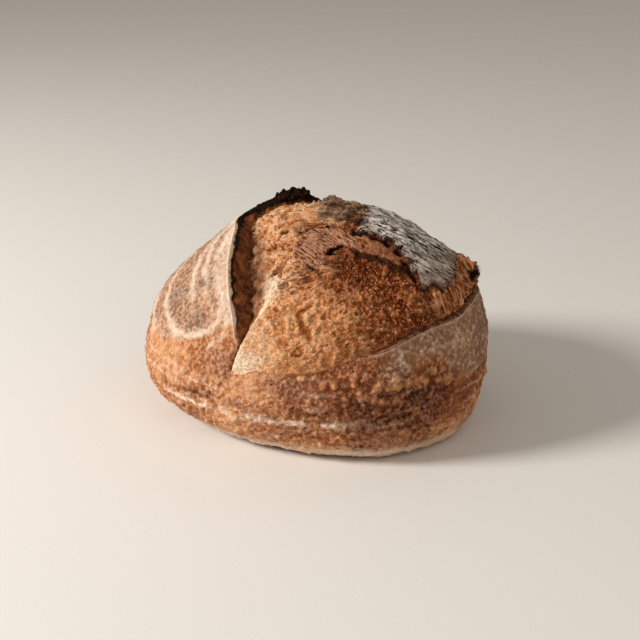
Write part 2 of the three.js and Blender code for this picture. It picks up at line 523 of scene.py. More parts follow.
def blister_field(place, zone):
    """Blisters, 0 to 1 high: large ones by place, and smaller ones scattered where the zone has them."""
    total = np.zeros(place.shape[:-1])
    for spot, width in BLISTERS:
        distance = np.linalg.norm(place - np.array(spot, float), axis=-1)
        total = np.maximum(total, dome_bump(distance, width * 1.15))
    for size, share, seed in ((8, 0.55, 61), (6, 0.7, 71), (4.4, 0.8, 81)):
        distance, number = spots(place, size, seed)
        width = size * (0.26 + 0.2 * np.mod(number * 7.3, 1))
        high = dome_bump(distance, width) * ramp(number, share, share - 0.1) * zone * (0.3 + size / 11)
        total = np.maximum(total, high)
    return total


def flour_on_flap(x, y, place, azimuth):
    """The floured flap, and the basket's lines of flour on and beside it, 0 to 1."""
    off = np.hypot(x - FLAP_MIDDLE[0], y - FLAP_MIDDLE[1]) + 0.012 * noise(place, 9, 36)
    flap = between(azimuth, 118, 135, 250, 240) * ramp(off, FLAP_REACH, FLAP_REACH - 0.02)
    spread = np.stack([x, y], -1) + 0.008 * np.stack([noise(place, 9, 31), noise(place, 9, 32)], -1)
    lines = np.zeros_like(x)
    for number, line in enumerate(FLOUR_LINES):
        away = line_offset(spread, line)[0]
        strength = 0.75 + 0.4 * noise(place, 14, 35 + number)
        lines = np.maximum(lines, bell(away / 0.017) * np.clip(strength, 0, 1))
    return flap, lines


def make_crust():
    bearing = even_bearings(CRUST_COLUMNS)
    wall, inward = crust_wall(bearing)
    x, y, beyond = crust_side(bearing)
    place = on_dome(x, y)
    normal = dome_normal(x, y)
    azimuth = azimuth_of(x, y)
    out = np.hypot(x, y)
    east, z = place[..., 0], place[..., 2]
    lift = along_table(SPLIT, bearing, 2) * bell(beyond / EDGE_FLARE)
    edge_length = beyond * SKIN_PER_REACH

    # Flour: on the flap and its basket lines, in level bands round the sides, and near the base.
    flap, rings = flour_on_flap(x, y, place, azimuth)
    ash = sum(near(place, spot, width) for spot, width in ASH_PATCHES)
    ash = np.clip(ash * (0.75 + 0.5 * noise(place, 5, 38)), 0, 1) * flap
    by_edge = flap * ramp(edge_length, 7, 1)
    flap_flour = np.clip(0.22 * flap + 0.62 * rings + 0.4 * by_edge - 0.25 * ash, 0, 1)

    level = (z - BAND_FIRST + 1.6 * noise(place, 34, 33)) / BAND_PITCH + 0.1 * noise(place, 9, 39)
    bands = bell((level - np.round(level)) / 0.13) * ramp(z, 62, 52) * (1 - flap)
    bands = bands * ramp(layered(place, 20, 34), -0.2, 0.45)
    rim = bell((z - 6) / 5) * (0.5 + 0.35 * noise(place, 18, 40) + 0.5 * front_side(azimuth))
    # The grey coat by the right flap's edge, and the red brown below it.
    coat = right_coat(bearing, edge_length, place)
    red = red_side(azimuth, z)
    flecks = ramp(layered(place, 2.2, 51, 2), 0.1, 0.6) * coat
    # Low on the front: streaks of swept flour, and scorched bands between them.
    front = between(azimuth, 200, 218, 296, 272)
    sway = z + 2.5 * noise(place, 26, 52)
    streaks = ramp(layered(stretched(place, (1, 0, 0), 3), 4, 53), -0.5, 0.25)
    thin_line = bell((sway - 41) / 1.1) * between(azimuth, 196, 208, 246, 228)
    swept = np.maximum(0.85 * bell((sway - 27) / 3.2) * front * streaks, 0.6 * thin_line)
    scorched = bell((sway - 34) / 3.6) * front * ramp(layered(place, 9, 54), -0.4, 0.2)
    low_scorch = bell((sway - 19) / 2.6) * front * ramp(noise(place, 8, 55), -0.3, 0.3)
    scorched = np.maximum(scorched, 0.7 * low_scorch)
    red = np.maximum(red, 0.75 * scorched)
    flour = flap_flour + 0.42 * bands * (1 - 0.5 * red) + 0.8 * rim + 0.55 * flecks + 0.75 * swept
    flour = np.clip(flour, 0, 1)

    # Where blisters rise, and where the skin stayed smooth.
    right_field = between(azimuth, 282, 296, 326, 312) * between(z, 60, 56, 38, 43)
    left_field = between(azimuth, 192, 206, 234, 228) * between(z, 66, 58, 32, 42)
    low_field = between(z, 52, 36, 8, 16)
    high_field = between(azimuth, 192, 206, 240, 232) * ramp(z, 40, 60)
    zone = np.maximum(np.maximum(1.0 * right_field, 0.95 * left_field), 0.6 * low_field)
    zone = np.maximum(zone, 0.3 * high_field)
    smooth = bell(np.hypot(east + 12, (z - 49) * 1.3) / 15) * ramp(azimuth, 240, 250)
    smooth = np.maximum(smooth, 0.9 * bell(np.hypot(east + 53, z - 56) / 11) * front_side(azimuth))
    blister = blister_field(place, zone * (1 - 0.9 * smooth))
    pore = sum(near(place, spot, width) for spot, width in PORES)

    # The relief: winding wrinkles, pebbles, broad waves and fine grain.
    worms = ridged(warped(place, 7, 2.2, 91), 4.6, 94) * ramp(z, 78, 55)
    worms = worms * (1 - 0.8 * smooth) * (0.55 + 0.45 * ramp(noise(place, 22, 95), -0.4, 0.3))
    pebble, number = spots(warped(place, 6, 1.2, 97), 5, 98)
    pebbles = dome_bump(pebble, 1.7 + 0.8 * number) * (1 - 0.8 * smooth)
    pebbles = pebbles * (0.35 + 0.65 * ramp(z, 76, 52))
    relief = 1.1 * noise(place, 42, 41) + 0.6 * noise(place, 17, 42)
    relief = relief + 0.8 * worms + 0.7 * pebbles + 0.6 * layered(place, 5, 43) * (1 - 0.7 * smooth)
    relief = relief + 0.14 * noise(place, 2.3, 44) + 0.35 * rings + 0.3 * bands - 1.2 * pore
    shown = ramp(out, 2.0, 1.9)
    height = (relief + 1.7 * blister) * shown * ramp(edge_length, 0, 3) + lift
    side = place + height[..., None] * normal
    side[..., 2] = np.where(out >= 2, 0, np.maximum(side[..., 2], 0.05))

    # The torn wall is gritty, but not at its edge.
    grit = 1.3 * layered(stretched(wall, (0, 0.3, 1), 2.5), 3.5, 45) + 0.3 * noise(wall, 1.2, 46)
    up = np.concatenate([[0], np.linspace(0, 1, WALL_ROWS)[:-1]])[:, None]
    wall = wall + (grit * ramp(up, 0.98, 0.9))[..., None] * inward
    wall[0] = wall[0].mean(axis=0)

    def both(inner, outer):
        return np.concatenate([np.broadcast_to(inner, wall.shape[:2]), outer])

    nothing = 0 * z
    # Up the wall under the ear: baked brown, then a burnt band, then the grey cut face.
    ear = between(bearing, 92, 102, 208, 203)
    band_end = 0.52 - 0.2 * ramp(bearing, 150, 120) + 0.2 * ramp(bearing, 172, 202)
    band_end = band_end + 0.1 * noise(wall, 7, 47) + 0.08 * noise(wall, 2.5, 48)
    face = 0.7 + 0.34 * ramp(bearing, 150, 130)
    burnt = ear * ramp(up, band_end - 0.06, band_end + 0.03) * ramp(up, face + 0.04, face)
    cut = ear * ramp(up, face, face + 0.04) * np.ones(len(bearing))
    baked = ear * ramp(up, 0, 0.06) * (0.55 + 0.45 * ramp(up, band_end - 0.3, band_end))
    lip = bell(edge_length / 1.2) * shown * (0.6 + 0.4 * ear) * (1 - joined(bearing))
    golden = between(azimuth, 262, 225, 90, 190)
    melted = joined(bearing) * ramp(edge_length + 2 * noise(place, 6, 49), 6, 0)
    marks = {"flour": flour, "coat": coat, "ash": ash, "blister": blister, "smooth": smooth}
    marks |= {"golden": golden, "red": red, "lip": lip, "melted": melted, "flap": flap}
    marks = {name: both(0, values) for name, values in marks.items()}
    marks |= {
        "torn": both(ramp(up, 0.99, 0.93), nothing),
        "cut": both(cut, nothing),
        "baked": both(baked, nothing),
        # The pores join the char mark: painted shade, black in their holes.
        "char": both(burnt, nothing + pore),
        # Painted highlight and shade: lighter where the relief, the blisters and the torn wall's grit
        # stand out, darker in their hollows.
        "relief_light_and_shade": both(0.6 * grit, 0.5 * relief + 0.9 * blister - 0.6),
    }
    grid = np.concatenate([wall, side])
    return skin("crust", grid, marks)


def joined(bearing):
    """Where the bloom runs into the crust with no step between them."""
    return between(bearing, 205, 213, 292, 262)


def front_side(azimuth):
    return between(azimuth, 215, 225, 330, 315)


def red_side(azimuth, z):
    """Where the crust baked to a deep red brown: the middle heights of the front right."""
    around = between(azimuth, 268, 290, 324, 302)
    upper = 0.45 * ramp(z, 66, 56) + 0.55 * ramp(z, 52, 44)
    return around * upper * (0.7 + 0.3 * ramp(z, 22, 36)) * ramp(z, 3, 12)


def right_coat(bearing, edge_length, place):
    """The grey coat of flour below the right flap's edge, ending in a ragged line."""
    right = np.maximum(ramp(bearing, 280, 303), ramp(bearing, 100, 50))
    reach = 14 + 26 * np.maximum(ramp(bearing, 316, 350), ramp(bearing, 50, 20)) + 4 * noise(place, 12, 96)
    return right * ramp(edge_length, reach + 8, reach - 8)


# ---- The bloom ----

BLOOM_COLUMNS = 650
BLOOM_TOP_ROWS = 150
# Plan lines in mm: the burnt hem of the bloom's thin skin, the tear above it, a fold low on the front.
HEM = (
    (-8, -29),
    (-12, -39),
    (-10, -49),
    (-5, -57),
    (2, -62),
    (6, -57),
    (9.5, -48.5),
    (14.5, -45.5),
    (20.5, -45.5),
    (26, -50),
    (36.5, -52),
    (45.5, -55.5),
    (51, -55.5),
)
TEAR = (
    (-8, -29),
    (-6.5, -29.5),
    (0.5, -24.5),
    (5.5, -26.5),
    (12.5, -27.5),
    (20.5, -28.5),
    (31.5, -33.5),
)
FOLD = ((-2, -88), (-6, -84), (-8.5, -79), (-1, -77))
# Burnt pits among the shreds: place and width.
PITS = (
    ((-15, -10, 119), 1.6),
    ((-22, -42, 109), 2.0),
    ((-9, -55, 105), 1.8),
    ((-8, -38, 113), 2.0),
    ((-13, -39, 111), 1.2),
    ((0, 0, 123), 2.4),
    ((-11, -1, 121), 1.6),
)


def bloom_swell(x, y):
    """The bloom's height over the dome at a map point, away from its furrow."""
    lumps = np.sin(17 * x + 9 * y) + np.sin(11 * x - 19 * y + 1) + np.sin(27 * y - 5 * x)
    peak = PEAK_HEIGHT * bell(np.hypot(x - PEAK_PLACE[0], y - PEAK_PLACE[1]) / PEAK_WIDTH)
    drop = SHOULDER_DROP * bell(np.hypot(x - SHOULDER_PLACE[0], y - SHOULDER_PLACE[1]) / SHOULDER_WIDTH)
    return BLOOM_SWELL + BLOOM_LUMP * lumps / 2 + peak - drop


def past_cap(x, y):
    """How far past the charred cap's edge a map point is, and its bearing from the cap's middle."""
    east, north = x - CAP_MIDDLE[0], y - CAP_MIDDLE[1]
    bearing = np.mod(np.degrees(np.arctan2(north, east)), 360)
    return np.hypot(east, north) - along_table(CAP, bearing, 1), bearing


def bloom_lift(x, y, bearing, inside):
    """The bloom's height over the dome at a map point, this far inside the crust's edge."""
    depth = along_table(FURROW, bearing, 1)
    width = along_table(FURROW, bearing, 2)
    dip = 3 * ramp(inside, 0.004, -0.018)
    return bloom_swell(x, y) - (BLOOM_SWELL + depth) * bell(inside / width) - dip


def make_bloom():
    bearing = even_bearings(BLOOM_COLUMNS)
    edge = along_table(SPLIT, bearing, 1)
    share = 1 - (1 - np.linspace(0, 1, BLOOM_TOP_ROWS)) ** 1.15
    reach = share[:, None] * (edge + 0.018 * joined(bearing))
    x, y = map_point(SPLIT_MIDDLE, bearing, reach)
    flat = on_dome(x, y)
    normal = dome_normal(x, y)
    inside = edge - reach
    frayed = 0.016 * noise(flat, 5, 145) * ramp(inside, 0.005, 0.02) * (1 - joined(bearing))
    place = flat + bloom_lift(x, y, bearing, inside + frayed)[..., None] * normal
    plan = place[..., :2]
    east, north = plan[..., 0], plan[..., 1]

    # The bloom's thin skin lies between its burnt hem and the tear.
    ragged = 1.4 * noise(place, 4.5, 101) + 0.9 * noise(place, 1.9, 102)
    hem_off, hem_side, hem_share = line_offset(plan, HEM)
    tear_off, tear_side = line_offset(plan, TEAR)[:2]
    film = ramp(hem_side * hem_off + ragged, -0.3, 0.3) * ramp(ragged - tear_side * tear_off, -0.3, 0.3)
    film = film * between(east, 58, 40, -14, -9)
    hem_burn = bell(hem_off / (0.9 + 0.5 * bell((hem_share - 0.5) / 0.12))) * ramp(hem_share, 0.22, 0.36)
    hem_burn = hem_burn * np.clip(0.7 + noise(place, 5, 103), 0, 1)
    hem_burn = hem_burn * (1 - 0.7 * ramp(hem_share, 0.6, 0.66))
    smudge = bell(np.clip(hem_off - 1, 0, 99) / 4) * ramp(hem_share, 0.6, 0.75) * ramp(hem_side, 1, -1)
    tear_burn = bell(tear_off / 1.1) * np.clip(0.6 + 1.4 * noise(place, 6, 104), 0, 1)
    # Burnt pits: large ones by place, and more scattered among the shreds.
    pits = np.clip(sum(near(place, spot, width) for spot, width in PITS), 0, 1)
    more, number = spots(place, 9, 105)
    shreds = ramp(north, -76, -58) * ramp(east, 22, 4)
    pits = np.maximum(pits, bell(more / 1.2) * ramp(number, 0.3, 0.25) * np.maximum(shreds, film) * 0.8)

    # A pale strip beside the furrow, and in the furrow a dark brown that is partly its own colour and
    # partly painted shade where the ear's shadow falls.
    start = along_table(FURROW, bearing, 2) - 0.03
    wider = 0.04 * ramp(bearing, 188, 200)
    early = 0.03 * ramp(bearing, 198, 208) + 0.045 * ramp(bearing, 202, 188)
    strip = ramp(inside, start - 0.01 - early, start + 0.035 - early)
    strip = 1.2 * strip * ramp(inside, start + 0.13 + wider - early, start + 0.06 - early)
    strip = strip * between(bearing, 178, 192, 238, 210)
    wash = ramp(inside, start, start + 0.04) * ramp(inside, start + 0.4, start + 0.12) * (1 - film)
    strip = np.maximum(strip, 0.3 * wash * between(bearing, 185, 205, 232, 216))
    deep = ramp(inside, start + 0.03, start - 0.04) * between(bearing, 96, 112, 212, 204)
    deep = deep * (0.8 + 0.35 * noise(place, 5, 133))
    # Zones: golden on the front, strands on the right, dark between, ashy under the cap.
    gold = ramp(north, -66, -82) * ramp(east, 46, 4)
    streak = ramp(east, 56, 72) * ramp(north, -76, -58)
    dark = ramp(east, -32, 22) * ramp(north, -10, -30)
    dark = dark * (1 - 0.75 * gold) * (1 - 0.6 * streak)
    grains = (1 - shreds) * (1 - streak) * (1 - 0.75 * gold) * (1 - film)
    ashen = ramp(north, -26, -16) * ramp(east, -4, 8) * ramp(inside, 0.02, 0.08) * (1 - 0.8 * streak)
    fold_off = line_offset(plan, FOLD)[0]
    # A gap below the cap's edge, sunk a little and painted near black as the cap's shadow, and the black
    # tip of the right peak.
    past, around = past_cap(x, y)
    shadowed_gap = bell((past - 0.014) / 0.017) * between(around, 188, 204, 282, 258)
    shadowed_gap = shadowed_gap * np.clip(0.8 + noise(place, 5, 141), 0, 1)
    tip = near((place - (97, -18, 92)) * (0.5, 0.45, 1), (0, 0, 0), 5)
    tip = tip + 0.35 * noise(place, 2.6, 142) + 0.3 * noise(place, 6, 143)

    # The patterns that the relief is made of.
    away, number = spots(place, 2.7, 111)
    granules = dome_bump(away, 0.7 + 0.7 * number) * ramp(number, 0.2, 0.5)
    folds = ridged(warped(place, 8, 3.5, 112), 8, 115)
    crinkle = ridged(warped(place, 4, 1.8, 116), 3.6, 119)
    shred = ridged(stretched(warped(place, 8, 1.5, 120), (1, 0.1, 0), 4), 3.4, 123)
    shred = 0.7 * shred + 0.6 * layered(stretched(place, (1, 0.1, 0), 4.5), 2.4, 124, 2)
    shred = shred + 0.6 * ridged(stretched(warped(place, 12, 3, 134), (1, 0.25, -0.1), 3), 6, 137)
    fibre = ridged(stretched(warped(place, 12, 1.2, 126), (0.35, -0.55, -0.75), 6), 3.0, 129)
    hatch = layered(stretched(place, (0.6, -0.8, -0.2), 6), 1.5, 130, 2)

    relief = 1.3 * layered(place, 7, 131, 3) * (1 - 0.4 * gold)
    relief = relief + gold * (0.9 * folds + 1.0 * crinkle)
    relief = relief + 0.8 * granules * grains + 0.9 * crinkle * grains
    relief = relief + 2.9 * shred * shreds * (1 - film) + 3.0 * fibre * streak + 0.5 * hatch * film
    relief = relief + 1.5 * film - 1.0 * hem_burn * (1 - film) - 0.8 * tear_burn - 2.0 * pits
    relief = relief + 1.1 * shred * ashen - 1.8 * shadowed_gap
    relief = relief - 1.6 * bell(fold_off / 1.1) + 1.0 * bell((fold_off - 2.6) / 1.4)
    # The relief is calmer by the crust's edge, in the furrow and under the cap.
    calm = np.maximum(ramp(inside, 0, 0.05), 0.7 * joined(bearing))
    calm = calm * (1 - 0.6 * np.clip(strip, 0, 1) * ramp(inside, 0.24, 0.14)) * (1 - 0.4 * deep)
    relief = relief * calm * (1 - 0.8 * ramp(past, 0.01, -0.03)) + 0.15 * noise(place, 1.3, 132)
    hold = ramp(share, 0, 0.02)[:, None]
    place = place + (relief * hold)[..., None] * normal

    # Two hidden rows close the piece inside the loaf.
    root = edge - 0.05
    rx, ry = map_point(SPLIT_MIDDLE, bearing, root)
    root_row = (on_dome(rx, ry) - BLOOM_ROOT_DEPTH * dome_normal(rx, ry))[None]
    heart = on_dome(*SPLIT_MIDDLE) - BLOOM_HEART_DEPTH * dome_normal(*SPLIT_MIDDLE)
    grid = np.concatenate([place, root_row, np.broadcast_to(heart, root_row.shape)])
    grid[0] = grid[0].mean(axis=0)

    def padded(values):
        values = np.broadcast_to(values, place.shape[:2])
        return np.concatenate([values, values[-1:], values[-1:]])

    # The char mark: burns on the hem, the tear, the pits and the tip, and painted shadow in the gap under
    # the cap.
    char = hem_burn + tear_burn + pits + 0.95 * shadowed_gap + 0.9 * ramp(tip, 0.55, 0.9)
    marks = {"pale": strip, "deep": deep, "gold": gold, "dark": dark, "shreds": shreds, "streak": streak}
    marks |= {
        "film": film * ramp(east, 40, 20),
        "rust": film * ramp(east, 20, 40),
        "ashen": ashen,
        "grains": grains * granules,
        "char": np.clip(char, 0, 1),
        "smudge": np.maximum(smudge, 0.7 * ramp(tip, 0.1, 0.7)),
        # The relief's height, which the finish paints as highlight on the raised crumb and as shade in its
        # hollows.
        "high": relief + 0.8 * (1 - calm),
    }
    marks = {name: padded(values) for name, values in marks.items()}
    return skin("bloom", grid, marks)


# ---- The charred cap and the burnt crest ----

CAP_COLUMNS = 460
CAP_TOP_ROWS = 120
CREST_COLUMNS = 80
CREST_ROWS = 220
# The radius in mm of the ring whose noise frays the cap's edge.
CAP_FRAY = 60
# The stretch of the opening's edge that the crest covers, in bearings.
CREST_FROM = 131
CREST_TO = 104


def make_cap():
    bearing = np.arange(CAP_COLUMNS) / CAP_COLUMNS * 360
    edge = along_table(CAP, bearing, 1)
    rim = np.stack([CAP_FRAY * cosine(bearing), CAP_FRAY * sine(bearing), 0 * bearing], -1)
    frayed = ramp(bearing, 270, 290) + ramp(bearing, 40, 10)
    edge = edge + 0.014 * noise(rim, 5, 201) + (0.014 + 0.02 * frayed) * noise(rim, 2.2, 202)
    share = np.sin(np.linspace(0, 1, CAP_TOP_ROWS) * np.pi / 2) ** 0.8
    reach = share[:, None] * edge
    x, y = map_point(CAP_MIDDLE, bearing, reach)
    place = on_dome(x, y)
    normal = dome_normal(x, y)
    strokes = layered(stretched(warped(place, 10, 1.2, 203), (0.82, -0.18, -0.55), 5), 1.7, 206, 2)
    creases = ridged(warped(place, 16, 4, 208), 17, 211)
    thick = CAP_THICKNESS * (1 - 0.55 * ramp(bearing, 290, 320)) * (1 - 0.4 * ramp(bearing, 60, 20))
    height = bloom_swell(x, y) + thick * ramp(share, 1, 0.95)[:, None]
    height = height - 0.7 * ramp(share, 0.97, 1)[:, None]
    relief = 0.8 * strokes + 1.0 * noise(place, 18, 204) - 0.8 * np.clip(creases - 0.75, 0, 1) * 4
    relief = relief + 0.35 * noise(place, 4, 212) + 0.2 * noise(place, 1.4, 205)
    hold = ramp(share, 0, 0.03)[:, None]
    place = place + (height + relief * hold)[..., None] * normal
    tuck = mixed(np.array([x[-1], y[-1]]), np.array(CAP_MIDDLE)[:, None], 0.03)
    under = (on_dome(*tuck) - CAP_SUNK * normal[-1])[None]
    heart = on_dome(*CAP_MIDDLE) - CAP_SUNK * dome_normal(*CAP_MIDDLE)
    grid = np.concatenate([place, under, np.broadcast_to(heart, under.shape)])
    grid[0] = grid[0].mean(axis=0)
    high = np.concatenate([strokes, strokes[-1:], strokes[-1:]])
    low = np.concatenate([place[..., 2], under[..., 2], under[..., 2]])
    low = ramp(low + 4 * noise(grid, 9, 213), 112, 94)
    border = np.concatenate([np.broadcast_to(share[:, None], strokes.shape), np.ones((2, CAP_COLUMNS))])
    return skin("charred_cap", grid, {"high": high, "border": border, "low": low})


# Burnt flakes that stand up off the bloom: map point, lean in degrees, the way it leans, length in mm.
FLAKES = (
    ((0.036, 0.135), 12, 150, 6.5),
    ((0.022, 0.14), 38, 170, 4.6),
    ((-0.002, 0.12), 46, 200, 4.4),
    ((-0.03, 0.13), 60, 10, 4.0),
    ((0.067, 0.12), 55, 20, 4.2),
    ((0.095, 0.115), 64, 190, 3.8),
    ((-0.06, 0.15), 50, 175, 3.4),
    ((0.13, 0.1), 66, 160, 4.4),
    ((0.625, -0.06), 40, 60, 4.2),
    ((0.6, -0.09), 50, 150, 3.6),
    ((0.64, -0.085), 55, 10, 3.8),
    ((0.53, -0.1), 62, 120, 3.6),
)


def make_flakes():
    """Curled slivers of burnt crust: one is shaped, then copied to each place, turned and sized."""
    bpy.ops.object.select_all(action="DESELECT")
    bpy.ops.mesh.primitive_cone_add(vertices=6, radius1=0.16, radius2=0.03, depth=1, location=(0, 0, 0.5))
    bpy.ops.object.transform_apply(location=True, rotation=True, scale=True)
    bpy.ops.object.mode_set(mode="EDIT")
    bpy.ops.mesh.select_all(action="SELECT")
    bpy.ops.mesh.quads_convert_to_tris()
    bpy.ops.mesh.subdivide(number_cuts=2)
    bpy.ops.object.mode_set(mode="OBJECT")
    pattern = bpy.context.object
    count = len(pattern.data.vertices)
    places = np.zeros(count * 3)
    pattern.data.vertices.foreach_get("co", places)
    places = places.reshape(-1, 3)
    places[:, 1] *= 0.45
    places[:, 0] += 0.22 * places[:, 2] ** 2
    places += 0.035 * np.stack([noise(places, 0.2, 401 + k) for k in range(3)], -1)
    pattern.data.vertices.foreach_set("co", places.ravel())
    copies = []
    for (x, y), lean, way, length in FLAKES:
        foot = on_dome(x, y) + (bloom_swell(x, y) - 0.8) * dome_normal(x, y)
        bpy.ops.object.select_all(action="DESELECT")
        pattern.select_set(True)
        bpy.context.view_layer.objects.active = pattern
        bpy.ops.object.duplicate(linked=False)
        flake = bpy.context.object
        flake.location = foot * MM
        flake.rotation_euler = (0, math.radians(lean), math.radians(way))
        flake.scale = (length * MM, length * MM, length * MM)
        copies.append(flake)
    bpy.ops.object.select_all(action="DESELECT")
    pattern.select_set(True)
    bpy.ops.object.delete()
    for flake in copies:
        flake.select_set(True)
    bpy.context.view_layer.objects.active = copies[0]
    bpy.ops.object.join()
    flakes = bpy.context.object
    bpy.ops.object.transform_apply(location=True, rotation=True, scale=True)
    bpy.ops.object.shade_smooth()
    flakes.name = "burnt_flakes"
    flakes.data.name = "burnt_flakes"
    high = flakes.data.attributes.new("high", "FLOAT", "POINT")
    high.data.foreach_set("value", np.full(len(flakes.data.vertices), 0.8, np.float32))
    own(flakes)
    return flakes


def make_crest():
    """The burnt tuft on the ear's highest stretch: a tube along the edge, ragged with char."""
    bearing = np.linspace(CREST_FROM, CREST_TO, CREST_ROWS)
    edge = along_table(SPLIT, bearing, 1) - 0.01
    lift = along_table(SPLIT, bearing, 2)
    x, y = map_point(SPLIT_MIDDLE, bearing, edge)
    normal = dome_normal(x, y)
    share = np.linspace(0, 1, CREST_ROWS)
    crown = between(bearing, 124.5, 121.5, 111.5, 114.5)
    width = (1.3 + 1.9 * crown) * np.sqrt(np.clip(1 - (2 * share - 1) ** 6, 0, 1))
    spine = on_dome(x, y) + (lift - 0.6 + 0.8 * crown)[:, None] * normal
    ahead = unit(np.gradient(spine, axis=0))
    across = unit(np.cross(normal, ahead))
    turn = np.linspace(2 * np.pi, 0, CREST_COLUMNS, endpoint=False)
    around = np.cos(turn)[None, :, None] * across[:, None]
    around = around + 1.1 * np.sin(turn)[None, :, None] * normal[:, None]
    place = spine[:, None] + width[:, None, None] * around
    distance, number = spots(place, 3.6, 301)
    knobs = dome_bump(distance, 1.7) * (0.6 + number)
    ragged = 1.4 * knobs + 1.5 * layered(place, 3.4, 302) + 0.4 * noise(place, 0.9, 303)
    fade = np.clip(width / 2.5, 0, 1)[:, None]
    place = place + (ragged * fade)[..., None] * unit(around)
    place[0] = place[0].mean(axis=0)
    place[-1] = place[-1].mean(axis=0)
    return skin("burnt_crest", place, {"high": ragged})


# ---- Finishes ----


def colour(code):
    """An sRGB hex colour as linear red, green, blue and alpha."""
    parts = [int(code[i : i + 2], 16) / 255 for i in (1, 3, 5)]
    return [*(p / 12.92 if p <= 0.04045 else ((p + 0.055) / 1.055) ** 2.4 for p in parts), 1]


def add(tree, kind, inputs=None, out=0, **settings):
    """Adds a node and gives one of its outputs; an input is a value, a hex colour or another output."""
    made = tree.nodes.new("ShaderNode" + kind)
    for key, value in settings.items():
        setattr(made, key, value)
    for key, value in (inputs or {}).items():
        if isinstance(value, bpy.types.NodeSocket):
            tree.links.new(value, made.inputs[key])
        else:
            made.inputs[key].default_value = colour(value) if isinstance(value, str) else value
    return made.outputs[out] if made.outputs else None


def finish_of(name):
    material = bpy.data.materials.new(name)
    material.use_nodes = True
    material.node_tree.nodes.clear()
    return material, material.node_tree


def grain(tree, size, detail=3, roughness=0.55, stretch=1, turn=(0, 0, 0)):
    """Noise, 0 to 1, with grains of this size in mm, drawn out along a turned direction by the stretch."""
    place = add(tree, "TexCoord", out="Object")
    if stretch != 1:
        laid = {"Vector": place, "Rotation": [math.radians(t) for t in turn], "Scale": (stretch, 1, 1)}
        place = add(tree, "Mapping", laid, vector_type="TEXTURE")
    wave = {"Vector": place, "Scale": 1 / (size * MM), "Detail": detail, "Roughness": roughness}
    return add(tree, "TexNoise", wave, "Fac")


# A Map Range node's sockets: 0 takes the value, 1 and 2 its ends, 3 and 4 what they become.
# A Mix node's: 0 takes the share, 6 the colour under and 7 the colour over.
EASED = {"interpolation_type": "SMOOTHSTEP"}


def crumbs(tree, size):
    """Rounded crumbs packed side by side, 1 in their middles and 0 between them."""
    place = add(tree, "TexCoord", out="Object")
    pattern = {"Vector": place, "Scale": 1 / (size * MM), "Smoothness": 0.3}
    away = add(tree, "TexVoronoi", pattern, "Distance", feature="SMOOTH_F1")
    return add(tree, "MapRange", {0: away, 1: 0.62, 2: 0.1}, **EASED)


def winding_curls(tree, size):
    """Thin winding curls about this far apart in mm, 1 on their crests."""
    place = add(tree, "TexCoord", out="Object")
    wave = {"Vector": place, "Scale": 1 / (size * MM), "Detail": 1, "Roughness": 0.5, "Distortion": 1.4}
    drift = add(tree, "TexNoise", wave, "Fac")
    away = add(tree, "Math", {0: drift, 1: 0.5}, operation="SUBTRACT")
    away = add(tree, "Math", {0: away}, operation="ABSOLUTE")
    return add(tree, "MapRange", {0: away, 1: 0.07, 2: 0}, **EASED)


def two_tone(tree, under, over, pattern, low, high):
    """Two colours in patches: the second where the pattern is past high, with a soft change from low."""
    share = add(tree, "MapRange", {0: pattern, 1: low, 2: high}, **EASED)
    return add(tree, "Mix", {0: share, 6: under, 7: over}, 2, data_type="RGBA")


def even_coat(tree, base, name, over, strength):
    """A colour laid on evenly where a mark is."""
    here = add(tree, "Attribute", out="Fac", attribute_name=name)
    share = add(tree, "Math", {0: here, 1: strength}, operation="MULTIPLY")
    return add(tree, "Mix", {0: share, 6: base, 7: over}, 2, data_type="RGBA")


def ragged_coat(tree, base, name, over, pattern, gain, soft, top=1.0):
    """A colour laid on where a mark is, its edges and half tones broken up by a pattern."""
    here = add(tree, "Attribute", out="Fac", attribute_name=name)
    here = add(tree, "Math", {0: pattern, 1: gain, 2: here}, operation="MULTIPLY_ADD")
    middle = 0.5 + gain / 2
    ends = {0: here, 1: middle - soft, 2: middle + soft, 4: top}
    share = add(tree, "MapRange", ends, **EASED)
    return add(tree, "Mix", {0: share, 6: base, 7: over}, 2, data_type="RGBA")


def coated(tree, base, coats):
    """Colours laid on in turn where their marks are: evenly, or with a pattern that breaks them up."""
    for coat in coats:
        lay = ragged_coat if len(coat) > 3 else even_coat
        base = lay(tree, base, *coat)
    return base


def mottled(tree, lightness, pattern, low, high, gain):
    """A lightness raised where the pattern is past high and lowered where it is under low."""
    swing = add(tree, "MapRange", {0: pattern, 1: low, 2: high, 3: -0.5, 4: 0.5}, **EASED)
    return add(tree, "Math", {0: swing, 1: gain, 2: lightness}, operation="MULTIPLY_ADD")


def marked(tree, name, pattern, swing):
    """A pattern that swings about 0 where a mark is, and is 0 elsewhere."""
    waves = add(tree, "MapRange", {0: pattern, 1: 0.36, 2: 0.64, 3: -swing, 4: swing}, **EASED)
    here = add(tree, "Attribute", out="Fac", attribute_name=name)
    return add(tree, "Math", {0: here, 1: waves}, operation="MULTIPLY")


def summed(tree, total, parts):
    """A total with each part added to it, times its own gain."""
    for part, gain in parts:
        total = add(tree, "Math", {0: part, 1: gain, 2: total}, operation="MULTIPLY_ADD")
    return total


def shaded(tree, base, lightness):
    """A colour made paler above 1 and deeper below it, as crust browns: the darker, the richer. Relief
    marks bring painted highlight and shade into it.
    """
    held = add(tree, "Clamp", {"Value": lightness, "Min": 0.5, "Max": 1.9})
    depth = add(tree, "Math", {0: held, 1: -0.65}, operation="POWER")
    made = add(tree, "Gamma", {"Color": base, "Gamma": depth})
    dim = add(tree, "MapRange", {0: held, 1: 0.4, 2: 1, 3: 0.62}, **EASED)
    return add(tree, "VectorMath", {0: made, "Scale": dim}, operation="SCALE")


